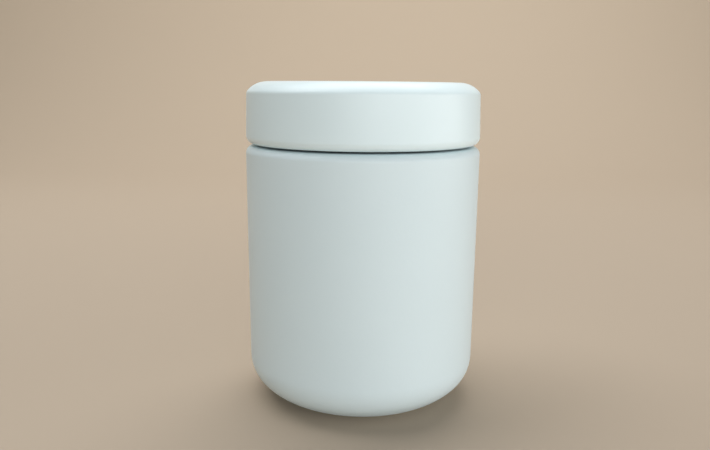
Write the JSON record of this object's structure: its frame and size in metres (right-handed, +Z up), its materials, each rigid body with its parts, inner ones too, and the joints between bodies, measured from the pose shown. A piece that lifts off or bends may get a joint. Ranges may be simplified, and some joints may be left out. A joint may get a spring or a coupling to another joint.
{
  "type": "insulated food jar",
  "caption": "Round vacuum-insulated food jar with a rounded base, a low screw lid, a sealing ring and a vent valve that the lid's first turn opens.",
  "frame": {"origin": "centre of the standing ring, on the surface that the jar stands on", "axes": "+Z up along the jar's axis, through the lid; the jar is round, so +X and +Y have no front of their own"},
  "size_m": [0.095, 0.095, 0.13],
  "materials": {
    "painted_steel": "satin powder coat, cool white",
    "bare_steel": "spun and lightly brushed",
    "reflective_foil": "bright foil",
    "sealing_filler": "dull braze",
    "getter_pellet": "sintered, matte",
    "lid_plastic": "satin moulded, cool white",
    "liner_plastic": "fine spark-eroded texture, pale grey",
    "foam": "closed-cell foam",
    "silicone": "matte silicone, pale grey"
  },
  "bodies": {
    "jar": {"outer_shell": "painted_steel", "outer_base": "bare_steel", "vacuum_seal": "sealing_filler", "seal_cover": "bare_steel", "inner_shell": "bare_steel", "inner_bottom": "bare_steel", "heat_shield_wrap": "reflective_foil", "heat_shield_base": "reflective_foil", "getter_holder": "bare_steel", "getter": "getter_pellet"},
    "seal": {"lid_gasket": "silicone"},
    "lid": {"inner_lid": "liner_plastic", "inner_lid_cap": "liner_plastic", "lid_insulation": "foam"},
    "cover": {"lid_cover": "lid_plastic"},
    "valve": {"valve_stem": "liner_plastic", "valve_packing": "silicone"}
  },
  "joints": [
    {"name": "lid_lift", "type": "slide", "parent": "jar", "child": "seal", "axis": [0, 0, 1], "range_m": [0, 0.0241]},
    {"name": "lid_turn", "type": "hinge", "parent": "seal", "child": "lid", "pos_m": [0, 0, 0.1066], "axis": [0, 0, 1], "range_deg": [0, 1080]},
    {"name": "cover_click", "type": "hinge", "parent": "lid", "child": "cover", "pos_m": [0, 0, 0.1278], "axis": [0, 0, 1], "range_deg": [0, 30]},
    {"name": "valve_open", "type": "slide", "parent": "lid", "child": "valve", "axis": [0, 0, -1], "range_m": [0, 0.00161]}
  ],
  "couplings": [
    {"joint": "lid_lift", "follows": "lid_turn", "m_per_rad": 0.0012732},
    {"joint": "valve_open", "follows": "cover_click", "m_per_rad": 0.0030558}
  ]
}
